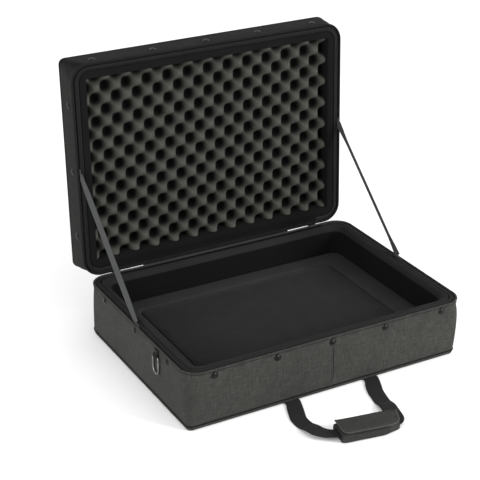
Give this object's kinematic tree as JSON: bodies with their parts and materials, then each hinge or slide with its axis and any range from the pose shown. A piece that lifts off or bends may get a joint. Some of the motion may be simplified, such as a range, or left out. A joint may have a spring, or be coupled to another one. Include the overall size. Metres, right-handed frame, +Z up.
{
  "type": "guitar pedal case",
  "caption": "Soft-sided pedal-board case with a zip rim, a hinged lid lined with egg-crate foam, foam-walled base, webbing stays, padded grip and shoulder-strap rings.",
  "frame": {"origin": "centre of the underside of the base, on the surface it stands on", "axes": "+X to the right seen from the front, +Y to the back where the lid is hinged, +Z up"},
  "size_m": [0.6766, 0.7855, 0.6046],
  "materials": {
    "cover_nylon": "woven nylon, satin",
    "panel_board": "matt",
    "lining_knit": "matt knit over foam",
    "floor_foam": "matt brushed lining over foam",
    "piping": "satin piping",
    "zip_tape": "woven tape",
    "zip_coil": "satin",
    "cap": "satin",
    "webbing_dark": "ribbed webbing",
    "webbing_grey": "ribbed webbing",
    "ring_steel": "polished",
    "egg_foam": "open-cell foam, matt",
    "zip_metal": "dark satin",
    "grip_cover": "woven nylon",
    "hook_tape": "matt pile",
    "board": "painted plywood",
    "loop_pile": "matt loop pile"
  },
  "bodies": {
    "case_base": {"base_shell": "cover_nylon", "base_bottom_panel": "panel_board", "base_liner": "lining_knit", "base_floor_pad": "floor_foam", "base_rim_piping": "piping", "base_bottom_piping": "piping", "base_zip_tape": "zip_tape", "base_zip_coil": "zip_coil", "front_seam_bead": "cover_nylon", "base_front_caps": "cap", "base_side_caps": "cap", "base_back_caps": "cap", "ring_tab_left": "webbing_dark", "ring_tab_right": "webbing_dark", "handle_anchors": "webbing_dark", "base_stay_tabs": "webbing_grey", "hinge_strip": "cover_nylon", "stay_right": "webbing_grey", "stay_left": "webbing_grey", "zip_end_left": "zip_tape", "zip_end_right": "zip_tape"},
    "lid": {"lid_shell": "cover_nylon", "lid_border": "lining_knit", "lid_convoluted_foam": "egg_foam", "lid_rim_piping": "piping", "lid_back_piping": "piping", "lid_zip_tape": "zip_tape", "lid_zip_coil": "zip_coil", "lid_front_caps": "cap", "lid_side_caps": "cap", "lid_stay_tabs": "webbing_grey"},
    "handle": {"handle_webbing": "webbing_dark", "grip_wrap": "grip_cover", "grip_hook_patch": "hook_tape"},
    "grip_flap": {"grip_flap": "grip_cover", "grip_loop_patch": "hook_tape"},
    "ring_left": {"d_ring_left": "ring_steel"},
    "ring_right": {"d_ring_right": "ring_steel"},
    "slider_left": {"zip_slider_left": "zip_metal"},
    "slider_right": {"zip_slider_right": "zip_metal"},
    "pull_left": {"zip_pull_left": "zip_metal"},
    "pull_right": {"zip_pull_right": "zip_metal"},
    "pedal_board": {"pedal_board": "board", "board_loop_face": "loop_pile"}
  },
  "joints": [
    {"name": "lid_hinge", "type": "hinge", "parent": "case_base", "child": "lid", "pos_m": [0, 0.243, 0.119], "axis": [1, 0, 0], "range_deg": [0, 91.8], "deforming": ["hinge_strip", "zip_end_left", "zip_end_right", "stay_left", "stay_right"]},
    {"name": "handle_hinge", "type": "hinge", "parent": "case_base", "child": "handle", "pos_m": [0, -0.245, 0.0018], "axis": [-1, 0, 0], "range_deg": [0, 55]},
    {"name": "grip_flap_hinge", "type": "hinge", "parent": "handle", "child": "grip_flap", "pos_m": [-0.008, -0.38534, 0.022], "axis": [-0.986, 0.1668, 0], "range_deg": [0, 120]},
    {"name": "ring_left_hinge", "type": "hinge", "parent": "case_base", "child": "ring_left", "pos_m": [-0.3343, -0.108, 0.107], "axis": [0, 1, 0], "range_deg": [0, 130]},
    {"name": "ring_right_hinge", "type": "hinge", "parent": "case_base", "child": "ring_right", "pos_m": [0.3343, -0.108, 0.107], "axis": [0, -1, 0], "range_deg": [0, 130]},
    {"name": "slider_left_slide", "type": "slide", "parent": "case_base", "child": "slider_left", "axis": [-1, 0, 0], "range_m": [0, 0.03]},
    {"name": "slider_right_slide", "type": "slide", "parent": "case_base", "child": "slider_right", "axis": [1, 0, 0], "range_m": [0, 0.03]},
    {"name": "pull_left_hinge", "type": "hinge", "parent": "slider_left", "child": "pull_left", "pos_m": [-0.255, 0.246, 0.11092], "axis": [1, 0, 0], "range_deg": [0, 80]},
    {"name": "pull_right_hinge", "type": "hinge", "parent": "slider_right", "child": "pull_right", "pos_m": [0.255, 0.246, 0.11092], "axis": [1, 0, 0], "range_deg": [0, 80]},
    {"name": "board_slide", "type": "slide", "parent": "case_base", "child": "pedal_board", "axis": [0, 0, 1], "range_m": [0, 0.082]}
  ]
}
